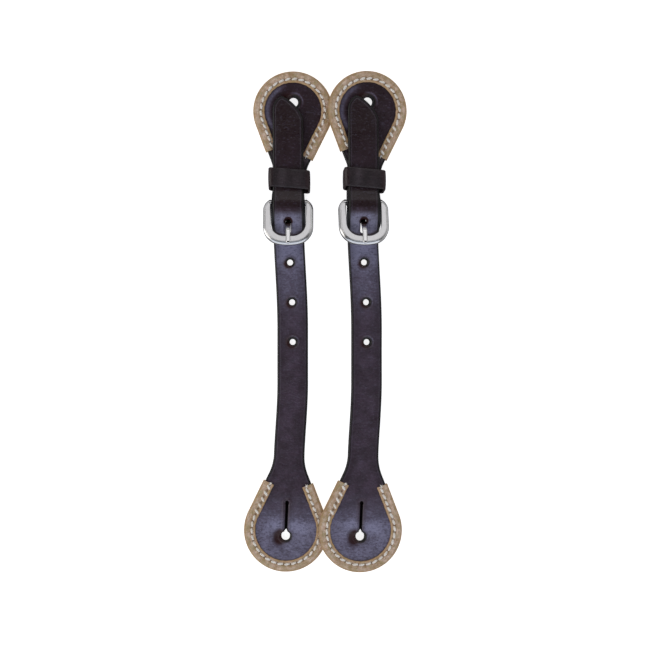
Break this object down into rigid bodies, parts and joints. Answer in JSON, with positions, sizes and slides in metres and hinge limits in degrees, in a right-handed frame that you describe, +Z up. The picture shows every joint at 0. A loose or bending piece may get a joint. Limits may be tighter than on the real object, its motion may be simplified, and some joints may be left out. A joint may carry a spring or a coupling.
{
  "type": "pair of spur straps",
  "caption": "Pair of leather western spur straps, each a buckled billet and buckle strap with bound, stitched teardrop ends and keyholes for spur buttons.",
  "frame": {"origin": "centre of the pair's footprint, on the surface it lies on", "axes": "+Y along the straps towards the buckle straps' button ends, +Z up out of the leather's face, +X across the pair, from the strap that lies flat to the strap that laps over it"},
  "size_m": [0.1038, 0.3194, 0.02],
  "materials": {
    "dark_leather": "satin, oiled",
    "keeper_leather": "satin, oiled",
    "rawhide": "smooth, slightly glossy",
    "thread": "waxed",
    "nickel": "satin nickel",
    "polished_nickel": "polished nickel"
  },
  "bodies": {
    "left_buckle_end": {"left_buckle_strap": "dark_leather", "left_upper_binding": "rawhide", "left_upper_binding_stitching": "thread", "left_chape_stitching": "thread"},
    "left_billet_end": {"left_billet_strap": "dark_leather", "left_lower_binding": "rawhide", "left_lower_binding_stitching": "thread"},
    "left_frame": {"left_buckle_frame": "nickel"},
    "left_tongue": {"left_buckle_tongue": "polished_nickel"},
    "left_keeper": {"left_keeper_loop": "keeper_leather", "left_keeper_staples": "nickel"},
    "right_buckle_end": {"right_buckle_strap": "dark_leather", "right_upper_binding": "rawhide", "right_upper_binding_stitching": "thread", "right_chape_stitching": "thread"},
    "right_billet_end": {"right_billet_strap": "dark_leather", "right_lower_binding": "rawhide", "right_lower_binding_stitching": "thread"},
    "right_frame": {"right_buckle_frame": "nickel"},
    "right_tongue": {"right_buckle_tongue": "polished_nickel"},
    "right_keeper": {"right_keeper_loop": "keeper_leather", "right_keeper_staples": "nickel"}
  },
  "joints": [
    {"name": "left_billet_slack", "type": "slide", "parent": "left_buckle_end", "child": "left_billet_end", "axis": [0, 1, 0], "range_m": [-0.0003, 0.0004]},
    {"name": "left_frame_hinge", "type": "hinge", "parent": "left_buckle_end", "child": "left_frame", "pos_m": [-0.02365, 0.0756, 0.0048], "axis": [-1, 0, 0], "range_deg": [0, 2.5]},
    {"name": "left_tongue_hinge", "type": "hinge", "parent": "left_frame", "child": "left_tongue", "pos_m": [-0.02365, 0.0756, 0.0048], "axis": [-1, 0, 0], "range_deg": [0, 1.5]},
    {"name": "left_keeper_slide", "type": "slide", "parent": "left_buckle_end", "child": "left_keeper", "axis": [0, 1, 0], "range_m": [-0.0022, 0]},
    {"name": "right_strap_lift", "type": "slide", "parent": "left_buckle_end", "child": "right_buckle_end", "axis": [0, 0, 1], "range_m": [0, 0.06]},
    {"name": "right_billet_slack", "type": "slide", "parent": "right_buckle_end", "child": "right_billet_end", "axis": [0, 1, 0], "range_m": [-0.0003, 0.0004]},
    {"name": "right_frame_hinge", "type": "hinge", "parent": "right_buckle_end", "child": "right_frame", "pos_m": [0.02394, 0.0756, 0.00797], "axis": [-0.9925, 0, 0.1219], "range_deg": [0, 2.5]},
    {"name": "right_tongue_hinge", "type": "hinge", "parent": "right_frame", "child": "right_tongue", "pos_m": [0.02394, 0.0756, 0.00797], "axis": [-0.9925, 0, 0.1219], "range_deg": [0, 1.5]},
    {"name": "right_keeper_slide", "type": "slide", "parent": "right_buckle_end", "child": "right_keeper", "axis": [0, 1, 0], "range_m": [-0.0022, 0]}
  ]
}
